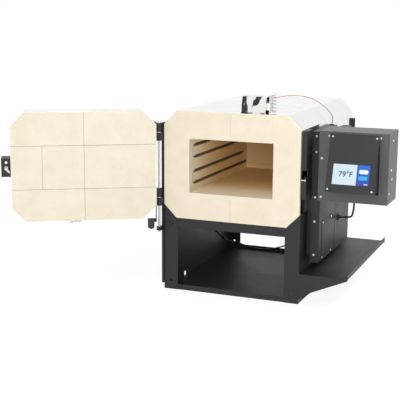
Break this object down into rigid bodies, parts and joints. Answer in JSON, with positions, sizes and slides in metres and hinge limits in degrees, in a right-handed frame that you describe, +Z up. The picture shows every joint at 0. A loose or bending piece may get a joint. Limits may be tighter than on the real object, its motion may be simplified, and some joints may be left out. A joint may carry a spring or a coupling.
{
  "type": "heat treating oven",
  "caption": "Bench-top electric heat treating oven: eight-sided firebrick muffle in a polished jacket on a sheet stand, side-hung brick door, tilting touch-screen panel and side shelf.",
  "frame": {"origin": "middle of the stand's footprint, on the floor", "axes": "+X to the right seen from the front, +Y to the back, +Z up; the oven's mouth faces -Y"},
  "size_m": [0.9963, 0.8106, 0.5432],
  "materials": {
    "firebrick": "matt",
    "door_firebrick": "matt",
    "resistance_wire": "oxidised",
    "white_ceramic": "satin",
    "brass": "satin",
    "polished_steel": "polished",
    "plated_steel": "plated",
    "black_powder": "fine texture powder coat",
    "black_plastic": "matt",
    "face_plate": "smooth satin",
    "screen_glass": "glossy",
    "circuit_board": "satin",
    "wire_red": "braided",
    "cable_black": "matt"
  },
  "bodies": {
    "oven": {"cable_fittings": "black_plastic", "case_screws": "plated_steel", "control_box_front": "black_powder", "control_box_rear": "black_powder", "door_switch": "plated_steel", "element_bushings": "white_ceramic", "element_terminals": "brass", "enclosure_standoffs": "black_powder", "enclosure_vent_plate": "black_powder", "floor_bricks": "firebrick", "floor_plate": "black_powder", "front_jacket": "polished_steel", "front_rail": "black_powder", "hinge_brackets": "black_powder", "hinge_post": "black_powder", "hinge_rod": "plated_steel", "hinge_washers": "plated_steel", "latch_post": "black_powder", "left_element": "resistance_wire", "left_wall_bricks": "firebrick", "panel_ears": "black_powder", "panel_pivots": "plated_steel", "power_relay": "black_plastic", "rail_plate": "black_powder", "rear_cover": "black_powder", "rear_jacket": "polished_steel", "rear_panel": "polished_steel", "rear_rail": "black_powder", "rear_wall_bricks": "firebrick", "relay_box": "black_powder", "right_element": "resistance_wire", "right_wall_bricks": "firebrick", "roof_bricks": "firebrick", "side_enclosure": "black_powder", "side_shelf": "black_powder", "stand_left_side": "black_powder", "stand_right_side": "black_powder", "strike_pin": "plated_steel", "supply_cable": "cable_black", "switch_cable": "cable_black", "thermocouple_cover": "polished_steel", "thermocouple_head": "white_ceramic", "thermocouple_probe": "white_ceramic", "thermocouple_terminals": "plated_steel", "thermocouple_wire": "wire_red"},
    "door": {"door_bricks": "door_firebrick", "door_band": "polished_steel", "door_back": "polished_steel", "door_hinge_leaves": "black_powder", "door_bumper": "black_plastic", "door_band_clamp": "plated_steel", "latch_bracket": "black_powder"},
    "latch": {"latch_finger": "plated_steel", "latch_handle": "black_plastic"},
    "panel": {"panel_frame": "black_powder", "panel_face": "face_plate", "display_screen": "screen_glass", "control_board": "circuit_board", "panel_screws": "plated_steel"},
    "plunger": {"switch_plunger": "black_plastic"}
  },
  "joints": [
    {"name": "door_swing", "type": "hinge", "parent": "oven", "child": "door", "pos_m": [-0.1999, -0.2674, 0.34], "axis": [0, 0, 1], "range_deg": [-25, 148.9]},
    {"name": "latch_turn", "type": "hinge", "parent": "door", "child": "latch", "pos_m": [-0.54904, -0.4696, 0.348], "axis": [-0.5165, 0.8563, 0], "range_deg": [0, 217]},
    {"name": "panel_tilt", "type": "hinge", "parent": "oven", "child": "panel", "pos_m": [0.32275, -0.2227, 0.4453], "axis": [1, 0, 0], "range_deg": [-10, 18.3]},
    {"name": "switch_press", "type": "slide", "parent": "oven", "child": "plunger", "axis": [0, 1, 0], "range_m": [0, 0.004], "stiffness_N_per_m": 250}
  ]
}
